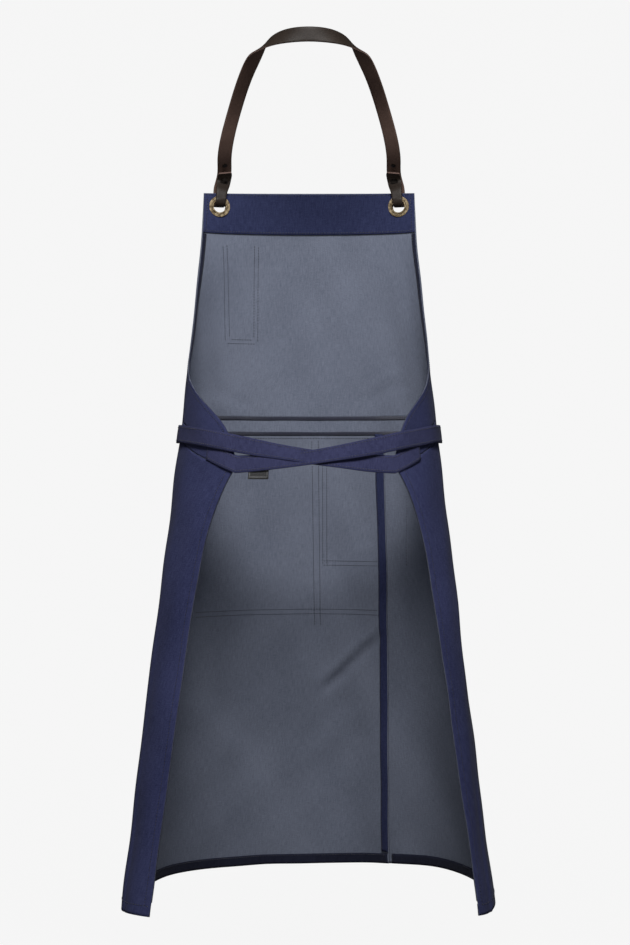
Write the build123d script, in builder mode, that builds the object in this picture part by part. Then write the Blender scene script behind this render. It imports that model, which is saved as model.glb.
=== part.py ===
from build123d import *
import math
import os

# Denim bib apron in its worn shape, with a leather neck strap, all sizes in millimetres.
# Origin: centre of the waist opening at the waist seam. +Z up, +Y out of the wearer's chest, so the
# open back faces -Y and the wearer's right hand is on +X.
#
# The cloth follows one body surface. A place on it is (turn, z): turn is the angle round the body, 0 at
# the centre front, +90 and -90 at the sides, beyond that on the back.

# ---- overall shape ----
BIB_HEIGHT = 308.0
SKIRT_LENGTH = 563.0
WAIST_HALF_WIDTH = 159.0
HEM_HALF_WIDTH = 219.0
WAIST_FRONT_DEPTH = 115.0
HEM_FRONT_DEPTH = 333.0
WAIST_BACK_DEPTH = 100.0
HEM_BACK_DEPTH = 80.0

# ---- where the cloth stops, as turns in degrees ----
BIB_TOP_TURN = 60.0
TIE_CORNER_TURN = {"left": 148.0, "right": 141.0}
HEM_CORNER_TURN = {"left": 123.4, "right": 116.9}
CORNER_DROP = 42.0
SLIT_TURN_WAIST = 36.9
SLIT_TURN_HEM = 28.6
SLIT_TUCK_TURN = 10.0
HEM_RISE = {"left": 6.0, "right": 14.0}

# ---- cloth build-up, measured outwards from the inside face of the main cloth ----
CLOTH = 1.0
HEM_CLOTH = 0.8
LAYER_GAP = 1.0
INNER_LAYER = -LAYER_GAP - HEM_CLOTH
OUTER_LAYER = CLOTH + LAYER_GAP
FACING_DEPTH = 52.0
ARMHOLE_HEM = 6.0
EDGE_HEM = 9.0
SLIT_FACING = 12.0
BOTTOM_HEM = 13.0
WAISTBAND = 20.0
SEAM_GAP = 0.4

# ---- ties ----
TIE_WIDTH = 22.0
TIE_CLOTH = 1.0
TIE_LAYER = {"left": 4.6, "right": 2.4}
TIE_OVER_BASE = 1.8
TIE_FRONT_HEIGHT = 10.0
TIE_BASE_TURN = 17.0
TAIL_LENGTH = 235.0
KNOT_WIDTH = 32.0
KNOT_HEIGHT = 27.0
KNOT_DEPTH = 13.0
KNOT_REACH = 7.0
TIE_END = {"left": 4.0, "right": 2.0}
TAIL_X = {"left": -8.0, "right": -34.0}
TAIL_LAYER = 18.5

# ---- neck strap and its metal ----
STRAP_WIDTH = 18.0
STRAP_WIDTH_IN_HOLE = 13.0
LEATHER = 2.5
GROMMET_X = 115.5
GROMMET_BELOW_TOP = 17.4
HOLE_RADIUS = 8.0
BARREL_WALL = 0.5
FLANGE_RADIUS = 13.5
FLANGE = 0.6
STUD_RADIUS = 4.0
CAP_RADIUS = 5.0

SIDES = {"left": -1, "right": 1}


# ---- the body surface ----
def ease(value):
    """Smooth step from 0 to 1."""
    value = min(max(value, 0.0), 1.0)
    return value * value * (3.0 - 2.0 * value)


def mix(start, end, part):
    return start + (end - start) * part


def half_width(z):
    if z >= 0:
        up = z / BIB_HEIGHT
        return WAIST_HALF_WIDTH - 33.8 * up + 31.0 * up**3
    return WAIST_HALF_WIDTH - (HEM_HALF_WIDTH - WAIST_HALF_WIDTH) * z / SKIRT_LENGTH


def front_depth(z):
    if z >= 0:
        up = z / BIB_HEIGHT
        return WAIST_FRONT_DEPTH - 20.0 * up - 79.0 * up**3
    return WAIST_FRONT_DEPTH - (HEM_FRONT_DEPTH - WAIST_FRONT_DEPTH) * z / SKIRT_LENGTH


def back_depth(z):
    return WAIST_BACK_DEPTH + (WAIST_BACK_DEPTH - HEM_BACK_DEPTH) * min(z, 0.0) / SKIRT_LENGTH


def front_y(z):
    if z >= 0:
        up = z / BIB_HEIGHT
        return WAIST_FRONT_DEPTH + 35.0 * up - 52.0 * up**2
    return WAIST_FRONT_DEPTH - 35.0 * z / SKIRT_LENGTH


def on_body(turn, z):
    """The body surface: half an ellipse in front, a shallower half at the back, eased together at the sides."""
    angle = math.radians(turn)
    side_y = front_y(z) - front_depth(z)
    around = abs((turn + 180.0) % 360.0 - 180.0)
    depth = mix(front_depth(z), back_depth(z), ease((around - 74.0) / 32.0))
    return Vector(half_width(z) * math.sin(angle), side_y + depth * math.cos(angle), z)


def outward(turn, z):
    along = on_body(turn + 0.5, z) - on_body(turn - 0.5, z)
    low = z - 1.0 if z < 0 else z
    upward = on_body(turn, low + 1.0) - on_body(turn, low)
    return upward.cross(along).normalized()


def lifted(turn, z, lift):
    return on_body(turn, z) + outward(turn, z) * lift


def sheet(rows, columns, thickness, place):
    """A solid between two faces through place(across, up, through); across and up run from 0 to 1."""
    faces = []
    for through in (0.0, thickness):
        grid = [
            [place(i / columns, j / rows, through) for i in range(columns + 1)] for j in range(rows + 1)
        ]
        faces.append(Face.make_surface_from_array_of_points(grid, tol=0.1, min_deg=3, max_deg=3))
    sides = []
    for near in faces[0].edges():
        far = min(faces[1].edges(), key=lambda edge: (edge.center() - near.center()).length)
        sides.append(Face.make_surface_from_curves(near, far))
    solid = Solid(Shell([*faces, *sides]))
    return solid if solid.volume > 0 else Solid(solid.wrapped.Reversed())


# ---- lines on the cloth ----
def waist_line(turn):
    """Height of the waist seam, which drops to the tie corners at the back."""
    return -CORNER_DROP * ease((abs(turn) - 80.0) / 68.0)


def armhole_turn(side, up):
    """Where the bib ends, from the tie corner (up = 0) to the top corner (up = 1)."""
    corner = TIE_CORNER_TURN[side]
    step = corner - BIB_TOP_TURN - 42.0
    return BIB_TOP_TURN + 42.0 * (1.0 - up) + step / (1.0 + math.exp((up - 0.215) / 0.03))


def flap_turn(side, up):
    """Where the skirt ends at the back, from the hem (up = 0) to the tie corner (up = 1)."""
    sweep = TIE_CORNER_TURN[side] - HEM_CORNER_TURN[side]
    return HEM_CORNER_TURN[side] + sweep * (0.4 * up + 0.6 * up**8)


def slit_turn(up):
    return SLIT_TURN_HEM + (SLIT_TURN_WAIST - SLIT_TURN_HEM) * up


def hem_height(turn):
    """Height of the bottom edge, which rides up a little at the sides."""
    side = "left" if turn < 0 else "right"
    rise = HEM_RISE[side] * math.sin(math.pi * min(abs(turn) / HEM_CORNER_TURN[side], 1.0)) ** 2
    return rise - SKIRT_LENGTH


def bib_z(turn, up):
    return waist_line(turn) + (BIB_HEIGHT - waist_line(turn)) * up


def skirt_z(turn, up):
    return hem_height(turn) + (waist_line(turn) - SEAM_GAP - hem_height(turn)) * up


def bib_edge(side, up):
    turn = SIDES[side] * armhole_turn(side, up)
    return turn, bib_z(turn, up)


def flap_edge(side, up):
    turn = SIDES[side] * flap_turn(side, up)
    return turn, skirt_z(turn, up)


def slit_edge(side, up):
    turn = slit_turn(up)
    return turn, skirt_z(turn, up)


def tuck_layer(turn):
    """The side panel lies outside the main panel at the slit and joins its layer at the side."""
    return OUTER_LAYER * (1.0 - ease((turn - 42.0) / 20.0))


def strip_place(side, edge, low, high, width):
    """Map to a strip of even width lying inside an edge of the cloth, on its inner face."""

    def place(across, up, through):
        height = mix(low, high, up)
        turn, z = edge(side, height)
        before = edge(side, height - 0.004)
        after = edge(side, height + 0.004)
        degree = (on_body(turn + 0.5, z) - on_body(turn - 0.5, z)).length
        run = (after[0] - before[0]) * degree
        rise = after[1] - before[1]
        step = SIDES[side] * (0.4 + (width - 0.4) * (1.0 - across)) / math.hypot(run, rise)
        return lifted(turn - rise * step / degree, z + run * step, INNER_LAYER + through)

    return place


def grommet_plane(side):
    """Plane of a grommet: x across the bib, z out of the wearer's chest, origin on the cloth's inside."""
    z = BIB_HEIGHT - GROMMET_BELOW_TOP
    turn = SIDES[side] * math.degrees(math.asin(GROMMET_X / half_width(z)))
    out = outward(turn, z)
    across = Vector(1, 0, 0) - out * out.X
    return Plane(origin=on_body(turn, z), x_dir=across, z_dir=out)


# ---- bib ----
def bib_place(lift, low, high, inset=0.0):
    """Map from across and up to the bib, between two heights, both given as parts of its height."""

    def place(across, up, through):
        height = mix(low, high, up)
        left = -armhole_turn("left", height) + inset
        right = armhole_turn("right", height) - inset
        turn = mix(left, right, across)
        return lifted(turn, bib_z(turn, height), lift + through)

    return place


band_top = WAISTBAND / BIB_HEIGHT
facing_low = 1.0 - FACING_DEPTH / BIB_HEIGHT

bib_face = sheet(24, 24, CLOTH, bib_place(0.0, band_top + SEAM_GAP / BIB_HEIGHT, 1.0))
with BuildPart() as bib_panel:
    add(bib_face)
    for side in SIDES:
        with BuildSketch(grommet_plane(side)):
            Circle(HOLE_RADIUS + BARREL_WALL + 0.6)
        extrude(amount=6.0, both=True, mode=Mode.SUBTRACT)

facing_face = sheet(5, 16, HEM_CLOTH, bib_place(INNER_LAYER, facing_low, 0.998, 0.3))
with BuildPart() as bib_top_facing:
    add(facing_face)
    for side in SIDES:
        with BuildSketch(grommet_plane(side)):
            Circle(HOLE_RADIUS + BARREL_WALL + 0.6)
        extrude(amount=6.0, both=True, mode=Mode.SUBTRACT)

waistband_face = sheet(3, 40, CLOTH, bib_place(0.0, 0.0, band_top))
with BuildPart() as waistband:
    add(waistband_face)


# Narrow hems turned to the inside along the armhole curves.
left_armhole_face = sheet(30, 2, HEM_CLOTH, strip_place("left", bib_edge, 0.01, facing_low - 0.004, ARMHOLE_HEM))
with BuildPart() as left_armhole_hem:
    add(left_armhole_face)

right_armhole_face = sheet(30, 2, HEM_CLOTH, strip_place("right", bib_edge, 0.01, facing_low - 0.004, ARMHOLE_HEM))
with BuildPart() as right_armhole_hem:
    add(right_armhole_face)


# ---- skirt ----
def main_place(across, up, through):
    turn = mix(-flap_turn("left", up), slit_turn(up), across)
    return lifted(turn, skirt_z(turn, up), through)


def side_place(across, up, through):
    turn = mix(SLIT_TUCK_TURN, flap_turn("right", up), across)
    return lifted(turn, skirt_z(turn, up), tuck_layer(turn) + through)


main_face = sheet(20, 44, CLOTH, main_place)
with BuildPart() as skirt_main_panel:
    add(main_face)

side_face = sheet(20, 36, CLOTH, side_place)
with BuildPart() as skirt_side_panel:
    add(side_face)


# Facing on the free edge of the main panel at the walking slit.
slit_face = sheet(14, 2, HEM_CLOTH, strip_place("right", slit_edge, 0.026, 0.997, SLIT_FACING))
with BuildPart() as slit_facing:
    add(slit_face)


# Hems turned to the inside along the bottom.
def bottom_hem_place(first, last, layer):
    def place(across, up, through):
        turn = mix(first, last, across)
        z = hem_height(turn) + mix(0.3, BOTTOM_HEM, up)
        return lifted(turn, z, INNER_LAYER + layer(turn) + through)

    return place


main_hem_face = sheet(2, 44, HEM_CLOTH, bottom_hem_place(-HEM_CORNER_TURN["left"] + 0.2, SLIT_TURN_HEM - 0.2, lambda turn: 0.0)
)
with BuildPart() as main_bottom_hem:
    add(main_hem_face)

side_hem_face = sheet(2, 44, HEM_CLOTH, bottom_hem_place(SLIT_TURN_HEM + 1.4, HEM_CORNER_TURN["right"] - 0.2, tuck_layer)
)
with BuildPart() as side_bottom_hem:
    add(side_hem_face)


# Hems turned to the inside along the free back edges.
left_edge_face = sheet(16, 2, HEM_CLOTH, strip_place("left", flap_edge, 0.03, 0.985, EDGE_HEM))
with BuildPart() as left_edge_hem:
    add(left_edge_face)

right_edge_face = sheet(16, 2, HEM_CLOTH, strip_place("right", flap_edge, 0.03, 0.985, EDGE_HEM))
with BuildPart() as right_edge_hem:
    add(right_edge_face)


# ---- pockets on the outside: each lies on the panel along its sides and bottom and stands open at the top ----
def pocket_place(left_x, right_x, low_z, high_z, lift, bulge, pinch=None):
    def place(across, up, through):
        z = mix(low_z, high_z, up)
        x = mix(left_x, right_x, across)
        if pinch is None:
            swell = 1.0 - abs(2.0 * across - 1.0) ** 3
        else:
            part = across / pinch if across < pinch else (across - pinch) / (1.0 - pinch)
            swell = 1.0 - abs(2.0 * part - 1.0) ** 3
        rise = 1.0 - (1.0 - up) ** 3
        turn = math.degrees(math.asin(x / half_width(z)))
        return lifted(turn, z, lift + bulge * swell * rise + through)

    return place


pen_face = sheet(8, 8, CLOTH, pocket_place(-114.0, -68.0, 116.0, 246.0, OUTER_LAYER, 9.0))
with BuildPart() as pen_pocket:
    add(pen_face)

# The front pocket lies over both skirt panels; the line of stitches down its middle makes two compartments.
POCKET_LAYER = OUTER_LAYER + CLOTH + LAYER_GAP
FRONT_POCKET = {"left": -142.0, "right": 144.0, "low": -231.0, "high": -13.0}
CENTRE_STITCH_X = 9.0
pocket_width = FRONT_POCKET["right"] - FRONT_POCKET["left"]
pinch_part = (CENTRE_STITCH_X - FRONT_POCKET["left"]) / pocket_width
front_face = sheet(10, 24, CLOTH,
    pocket_place(
        FRONT_POCKET["left"],
        FRONT_POCKET["right"],
        FRONT_POCKET["low"],
        FRONT_POCKET["high"],
        POCKET_LAYER,
        13.0,
        pinch_part,
    ),
)
with BuildPart() as front_pocket:
    add(front_face)

# The patch pocket rides on the swell of the front pocket's right compartment.
PATCH = {"left": 17.0, "right": 128.0, "low": -168.0, "high": -24.0}


def patch_place(across, up, through):
    z = mix(PATCH["low"], PATCH["high"], up)
    x = mix(PATCH["left"], PATCH["right"], across)
    front = pocket_place(
        FRONT_POCKET["left"],
        FRONT_POCKET["right"],
        FRONT_POCKET["low"],
        FRONT_POCKET["high"],
        POCKET_LAYER,
        13.0,
        pinch_part,
    )
    under = front((x - FRONT_POCKET["left"]) / pocket_width, (z - FRONT_POCKET["low"]) / 218.0, through)
    turn = math.degrees(math.asin(x / half_width(z)))
    swell = (1.0 - abs(2.0 * across - 1.0) ** 3) * (1.0 - (1.0 - up) ** 3)
    return under + outward(turn, z) * (OUTER_LAYER + 0.2 + 9.0 * swell)


patch_face = sheet(10, 12, CLOTH, patch_place)
with BuildPart() as patch_pocket:
    add(patch_face)


# ---- ties: each is sewn to its back corner, crosses the back, and goes round the other side to the front ----
def tie_height(side, turn_from_corner, corner_to_side):
    """Height of a tie's centre line; turn_from_corner is negative on the sewn base."""
    if turn_from_corner < 0:
        return -CORNER_DROP - turn_from_corner
    rise = ease(turn_from_corner / corner_to_side / 0.92)
    onward = ease((turn_from_corner - corner_to_side) / 90.0)
    return -CORNER_DROP + (CORNER_DROP - 4.0) * rise + (TIE_FRONT_HEIGHT + 4.0) * onward


def tie_place(side, front_turn):
    """The left tie runs from the left corner across the back to the right side, and the other way about."""
    corner = TIE_CORNER_TURN[side]
    corner_to_side = 270.0 - corner

    def place(across, up, through):
        travel = mix(-TIE_BASE_TURN, 360.0 - corner - front_turn, across)
        turn = -SIDES[side] * (360.0 - corner - travel)
        height = tie_height(side, travel, corner_to_side)
        z = height + TIE_WIDTH * (up - 0.5)
        lift = mix(OUTER_LAYER, TIE_LAYER[side], ease((travel + 2.0) / 8.0))
        if side == "right":
            lift += TIE_OVER_BASE * ease((travel - 61.0) / 9.0)
        else:
            lift += KNOT_REACH * ease((TIE_END["left"] + 13.0 - turn) / 9.0) if turn < 60.0 else 0.0
        return lifted(turn, z, lift + through)

    return place


def tail_place(side, top):
    """The loose end hangs straight down in front, clear of the pocket's swell."""

    def place(across, up, through):
        z = mix(top - TAIL_LENGTH, top, up)
        near = TIE_LAYER["right"] + TIE_OVER_BASE + 0.4
        fall = ease((TIE_FRONT_HEIGHT + 9.0 - z) / 30.0) if side == "right" else 1.0
        y = front_y(min(z, 0.0)) + mix(near, TAIL_LAYER, fall) + through
        return Vector(TAIL_X[side] + TIE_WIDTH * (across - 0.5), y, z)

    return place


knot_y = front_y(TIE_FRONT_HEIGHT) + TIE_LAYER["left"] + 2.6
left_tie_face = sheet(2, 60, TIE_CLOTH, tie_place("left", TIE_END["left"]))
left_tail_face = sheet(24, 2, TIE_CLOTH, tail_place("left", TIE_FRONT_HEIGHT - 4.0))
with BuildPart() as left_tie:
    add(left_tie_face)
    add(left_tail_face)
    with Locations((0, knot_y + KNOT_DEPTH / 2, TIE_FRONT_HEIGHT)):
        Box(KNOT_WIDTH, KNOT_DEPTH, KNOT_HEIGHT)

right_tie_face = sheet(2, 60, TIE_CLOTH, tie_place("right", TIE_END["right"]))
right_tail_face = sheet(24, 2, TIE_CLOTH, tail_place("right", TIE_FRONT_HEIGHT + TIE_WIDTH / 2))
with BuildPart() as right_tie:
    add(right_tie_face)
    add(right_tail_face)


# A folded label hangs from the left tie beside its corner.
def label_place(across, up, through):
    height = mix(-61.0, -46.0, up)
    x = mix(-71.0, -47.0, across)
    turn = -180.0 - math.degrees(math.asin(x / half_width(height)))
    return lifted(turn, height, TIE_LAYER["left"] - 1.1 + through)


label_face = sheet(2, 3, 0.6, label_place)
with BuildPart() as woven_label:
    add(label_face)


# ---- grommets: the outer half has the barrel, rolled over a washer on the inside of the bib ----
METAL_OUT = CLOTH + 0.5
METAL_IN = INNER_LAYER - 0.9
METAL_MIDDLE = -0.8

hole = grommet_plane("left")
hole_up = hole.x_dir.cross(hole.z_dir)
grommet_section = Plane(origin=hole.origin, x_dir=hole.x_dir, z_dir=hole_up)
barrel_radius = HOLE_RADIUS + BARREL_WALL

with BuildPart() as left_grommet:
    with BuildSketch(grommet_section):
        with BuildLine():
            Polyline(
                (HOLE_RADIUS, METAL_IN - 2 * FLANGE - 0.2),
                (HOLE_RADIUS, METAL_OUT + FLANGE),
                (FLANGE_RADIUS - FLANGE, METAL_OUT + FLANGE),
            )
            RadiusArc(
                (FLANGE_RADIUS - FLANGE, METAL_OUT + FLANGE), (FLANGE_RADIUS, METAL_OUT), FLANGE
            )
            Polyline(
                (FLANGE_RADIUS, METAL_OUT),
                (barrel_radius, METAL_OUT),
                (barrel_radius, METAL_IN - FLANGE - 0.2),
                (barrel_radius + 1.7, METAL_IN - FLANGE - 0.2),
                (barrel_radius + 1.2, METAL_IN - 2 * FLANGE - 0.2),
                (HOLE_RADIUS, METAL_IN - 2 * FLANGE - 0.2),
            )
        make_face()
    revolve(axis=Axis(hole.origin, hole.z_dir))

with BuildPart() as left_grommet_washer:
    with BuildSketch(hole.offset(METAL_IN - FLANGE)):
        Circle(FLANGE_RADIUS)
        Circle(barrel_radius + 0.3, mode=Mode.SUBTRACT)
    extrude(amount=FLANGE)

with BuildPart() as right_grommet:
    mirror(left_grommet.part, about=Plane.YZ)

with BuildPart() as right_grommet_washer:
    mirror(left_grommet_washer.part, about=Plane.YZ)


# ---- leather neck strap: threaded through the grommets from the outside, ends folded up inside ----
def by_hole(out, up, aside=0.0):
    """A place beside the left grommet: out of the bib and up its slope from the middle of the hole."""
    return hole.origin + hole.z_dir * (out + METAL_MIDDLE) + hole_up * up + hole.x_dir * aside


STRAP_START = 4.5
TAB_START = 5.0
LOOP = [(4.2, 1.0, 0.0), (7.3, 2.5, 0.0), (8.7, 6.0, 0.4), (9.2, 12.0, 1.0), (9.0, 19.0, 2.0), (6.0, 28.0, 3.6)]
TAB_LOOP = [(6.5, 1.5, 0.0), (8.1, 3.6, 0.1), (8.9, 7.5, 0.5), (8.9, 14.0, 1.2), (6.9, 21.0, 2.5), (3.9, 27.5, 4.0)]
SHOULDER = [(-108.0, 71.0, 348.0), (-94.0, 20.0, 401.0), (-71.0, -44.0, 450.5), (-46.0, -84.0, 471.5)]
NAPE = (0.0, -100.0, 477.2)
SNAP_UP_STRAP = 48.0
STUD_PITCH = 25.0
SNAP_GAP = 5.6
TAB_END = 63.0
TAB_SECTIONS = 24

with BuildLine() as strap_line:
    Spline(
        by_hole(-STRAP_START, 1.0),
        by_hole(0.0, 1.0),
        *[by_hole(out, up, aside) for out, up, aside in LOOP],
        by_hole(2.2, 36.0, 5.3),
        *SHOULDER,
        NAPE,
        tangents=[hole.z_dir, (1, 0, 0)],
    )
strap_edge = strap_line.edges()[0]
strap_half = strap_edge.length


def strap_frame(travel):
    """Middle of the leather at a distance from the split in the hole, its inner-edge side and grain side."""
    part = travel / strap_half
    along = strap_edge % part
    from_nape = strap_half - travel
    if from_nape < 110.0:
        facing = 49.0 + 131.0 * (1.0 - ease(from_nape / 110.0))
    else:
        facing = 49.0 - 36.5 * min((from_nape - 110.0) / 210.0, 1.0) ** 1.5
    lean = math.atan2(along.X, abs(along.Z)) if travel > 30.0 else 0.0
    turn = math.radians(facing)
    edge = Vector(math.cos(turn) * math.cos(lean), math.sin(turn), -math.cos(turn) * math.sin(lean))
    blend = ease((travel - 24.0) / 24.0)
    edge = hole.x_dir * (1.0 - blend) + edge * blend
    edge = (edge - along * edge.dot(along)).normalized()
    return strap_edge @ part, edge, along.cross(edge)


def strap_width(travel):
    return STRAP_WIDTH_IN_HOLE + (STRAP_WIDTH - STRAP_WIDTH_IN_HOLE) * ease((travel - 14.0) / 24.0)


def strap_place(across, up, through):
    """The whole run, from the hole on the left over the nape to the hole on the right."""
    half = min(up, 1.0 - up) * 2.0
    travel = strap_half * half**2
    middle, edge, grain = strap_frame(travel)
    spot = middle + edge * (strap_width(travel) * (across - 0.5)) + grain * (through - LEATHER / 2)
    return spot if up <= 0.5 else Vector(-spot.X, spot.Y, spot.Z)


def stud_plane(travel):
    middle, edge, grain = strap_frame(travel)
    return Plane(origin=middle, x_dir=edge, z_dir=grain)


snap_plane = stud_plane(SNAP_UP_STRAP)
spare_plane = stud_plane(SNAP_UP_STRAP + STUD_PITCH)
strap_face = sheet(96, 2, LEATHER, strap_place)
with BuildPart() as neck_strap:
    add(strap_face)
    for plane in (snap_plane, spare_plane):
        with BuildSketch(plane) as stud_hole:
            Circle(1.9)
        extrude(amount=3.0, both=True, mode=Mode.SUBTRACT)
        mirrored = mirror(extrude(stud_hole.sketch, amount=3.0, both=True, mode=Mode.PRIVATE), Plane.YZ, Mode.PRIVATE)
        add(mirrored, mode=Mode.SUBTRACT)

# Each tab starts where the strap leaves the hole on the inside and runs up to a square cut end.
with BuildLine() as tab_line:
    upper = [strap_frame(travel) for travel in (SNAP_UP_STRAP, SNAP_UP_STRAP + 7.0, TAB_END)]
    Spline(
        by_hole(-TAB_START, 1.0),
        *[by_hole(-out, up, aside) for out, up, aside in TAB_LOOP],
        *[middle - grain * SNAP_GAP for middle, edge, grain in upper],
    )
tab_edge = tab_line.edges()[0]


def tab_place(across, up, through):
    along = tab_edge % up
    edge = strap_frame(TAB_END * up)[1]
    edge = (edge - along * edge.dot(along)).normalized()
    grain = edge.cross(along)
    width = strap_width(2.0 + 50.0 * up)
    return tab_edge @ up + edge * (width * (across - 0.5)) + grain * (through - LEATHER / 2)


def tab_section(up):
    corners = [(0.0, 0.0), (1.0, 0.0), (1.0, LEATHER), (0.0, LEATHER)]
    return Wire.make_polygon([tab_place(across, up, through) for across, through in corners])


# The two halves of its snap are pressed a little way into the leather.
tab_cap = -SNAP_GAP - 3.05
tab_socket = -SNAP_GAP + 1.95
with BuildPart() as left_strap_tab:
    add(Solid.make_loft([tab_section(number / TAB_SECTIONS) for number in range(TAB_SECTIONS + 1)], ruled=True))
    with BuildSketch(snap_plane.offset(tab_cap - 1.0)):
        Circle(CAP_RADIUS + 0.2)
    extrude(amount=2.0, mode=Mode.SUBTRACT)
    with BuildSketch(snap_plane.offset(tab_socket - 0.1)):
        Circle(4.4)
    extrude(amount=4.0, mode=Mode.SUBTRACT)

with BuildPart() as right_strap_tab:
    mirror(left_strap_tab.part, about=Plane.YZ)

# Two studs on each leg of the strap: cap on the grain side, head on the flesh side.
with BuildPart() as left_strap_studs:
    for plane in (snap_plane, spare_plane):
        for radius, start, height in ((STUD_RADIUS, 1.45, 0.8), (1.5, -1.6, 3.2), (3.2, -1.85, 0.4), (2.3, -2.85, 1.1)):
            with BuildSketch(plane.offset(start)):
                Circle(radius)
            extrude(amount=height)

with BuildPart() as right_strap_studs:
    mirror(left_strap_studs.part, about=Plane.YZ)

# The socket half of the snap is riveted through the tab.
with BuildPart() as left_tab_snap:
    with BuildSketch(snap_plane.offset(tab_cap)):
        Circle(CAP_RADIUS)
    extrude(amount=0.9)
    with BuildSketch(snap_plane.offset(tab_cap - 0.5)):
        Circle(2.2)
    extrude(amount=0.6)
    with BuildSketch(snap_plane.offset(tab_socket)):
        Circle(4.2)
    extrude(amount=0.15)
    with BuildSketch(snap_plane.offset(tab_socket + 0.1)):
        Circle(4.2)
        Circle(2.8, mode=Mode.SUBTRACT)
    extrude(amount=1.3)

with BuildPart() as right_tab_snap:
    mirror(left_tab_snap.part, about=Plane.YZ)

made = {
    "bib_panel": bib_panel,
    "bib_top_facing": bib_top_facing,
    "waistband": waistband,
    "left_armhole_hem": left_armhole_hem,
    "right_armhole_hem": right_armhole_hem,
    "skirt_main_panel": skirt_main_panel,
    "skirt_side_panel": skirt_side_panel,
    "slit_facing": slit_facing,
    "main_bottom_hem": main_bottom_hem,
    "side_bottom_hem": side_bottom_hem,
    "left_edge_hem": left_edge_hem,
    "right_edge_hem": right_edge_hem,
    "pen_pocket": pen_pocket,
    "front_pocket": front_pocket,
    "patch_pocket": patch_pocket,
    "left_tie": left_tie,
    "right_tie": right_tie,
    "woven_label": woven_label,
    "left_grommet": left_grommet,
    "right_grommet": right_grommet,
    "left_grommet_washer": left_grommet_washer,
    "right_grommet_washer": right_grommet_washer,
    "neck_strap": neck_strap,
    "left_strap_tab": left_strap_tab,
    "right_strap_tab": right_strap_tab,
    "left_strap_studs": left_strap_studs,
    "right_strap_studs": right_strap_studs,
    "left_tab_snap": left_tab_snap,
    "right_tab_snap": right_tab_snap,
}
os.makedirs("parts", exist_ok=True)
for name, piece in made.items():
    piece.part.label = name
    export_step(piece.part, f"parts/{name}.step")
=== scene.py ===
import math

import bpy
import numpy as np
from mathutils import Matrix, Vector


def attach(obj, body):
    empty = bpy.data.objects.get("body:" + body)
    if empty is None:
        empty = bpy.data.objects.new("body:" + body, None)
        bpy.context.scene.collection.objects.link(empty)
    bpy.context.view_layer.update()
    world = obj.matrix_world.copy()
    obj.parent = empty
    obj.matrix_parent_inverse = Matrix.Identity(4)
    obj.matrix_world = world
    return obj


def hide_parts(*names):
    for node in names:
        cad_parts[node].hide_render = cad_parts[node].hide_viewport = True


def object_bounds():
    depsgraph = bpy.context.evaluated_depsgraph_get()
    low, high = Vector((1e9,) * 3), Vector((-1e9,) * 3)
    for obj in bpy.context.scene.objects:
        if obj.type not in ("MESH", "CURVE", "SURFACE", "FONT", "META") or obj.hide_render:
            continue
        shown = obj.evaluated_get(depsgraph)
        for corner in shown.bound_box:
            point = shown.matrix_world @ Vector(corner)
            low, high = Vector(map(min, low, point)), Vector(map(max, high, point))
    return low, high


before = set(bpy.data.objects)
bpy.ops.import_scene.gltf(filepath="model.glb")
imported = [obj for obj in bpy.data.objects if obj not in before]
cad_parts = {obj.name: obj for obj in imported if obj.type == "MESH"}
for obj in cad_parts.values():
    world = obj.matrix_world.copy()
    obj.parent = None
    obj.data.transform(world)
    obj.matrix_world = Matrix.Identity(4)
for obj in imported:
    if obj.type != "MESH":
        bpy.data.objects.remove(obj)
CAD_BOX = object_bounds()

# Denim bib apron in its worn shape. Lengths are worked out in millimetres, as in the CAD, and every mesh
# is written in metres. A place on the cloth is (turn, z): turn is the angle round the body in degrees,
# 0 at the centre front, and lift is the distance outwards from the inside face of the main cloth.
MM = 0.001
BIB = 308.0
SKIRT = 563.0
CORNER = {"left": 148.0, "right": 141.0}
HEM_TURN = {"left": 123.4, "right": 116.9}
SIDE = {"left": -1.0, "right": 1.0}
GAP = 1.0
CLOTH = 1.0
HEM_CLOTH = 0.8
# The armhole and back edge hems are really 5.7 to 8.9 mm wide; cloth_piece raises their measured width to
# this value and leaves their area as it is.
NARROWEST = 0.0101
INNER = -GAP - HEM_CLOTH
OUTER = CLOTH + GAP
TIE_WIDTH = 22.0
TIE_LAYER = {"left": 4.6, "right": 2.4}
GROMMET = (115.5, 290.6)
FACING_LOW = 1.0 - 52.0 / BIB
BAND_TOP = 20.0 / BIB


# ---------------------------------------------------------------- the body surface
def ease(value):
    value = np.clip(value, 0.0, 1.0)
    return value * value * (3.0 - 2.0 * value)


def mix(start, end, part):
    return start + (end - start) * part


def half_width(z):
    up = np.maximum(z, 0.0) / BIB
    down = np.maximum(-z, 0.0) / SKIRT
    return 159.0 - 33.8 * up + 31.0 * up**3 + 60.0 * down


def front_depth(z):
    up = np.maximum(z, 0.0) / BIB
    down = np.maximum(-z, 0.0) / SKIRT
    return 115.0 - 20.0 * up - 79.0 * up**3 + 218.0 * down


def front_y(z):
    up = np.maximum(z, 0.0) / BIB
    down = np.maximum(-z, 0.0) / SKIRT
    return 115.0 + 35.0 * up - 52.0 * up**2 + 35.0 * down


def on_body(turn, z):
    angle = np.radians(turn)
    around = np.abs((turn + 180.0) % 360.0 - 180.0)
    back = 100.0 + 20.0 * np.minimum(z, 0.0) / SKIRT
    depth = mix(front_depth(z), back, ease((around - 74.0) / 32.0))
    side_y = front_y(z) - front_depth(z)
    return np.stack([half_width(z) * np.sin(angle), side_y + depth * np.cos(angle), z + 0.0 * turn], axis=-1)


def outward(turn, z):
    along = on_body(turn + 0.5, z) - on_body(turn - 0.5, z)
    low = np.where(z < 0, z - 1.0, z)
    rise = on_body(turn, low + 1.0) - on_body(turn, low)
    out = np.cross(rise, along)
    return out / np.linalg.norm(out, axis=-1, keepdims=True)


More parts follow.
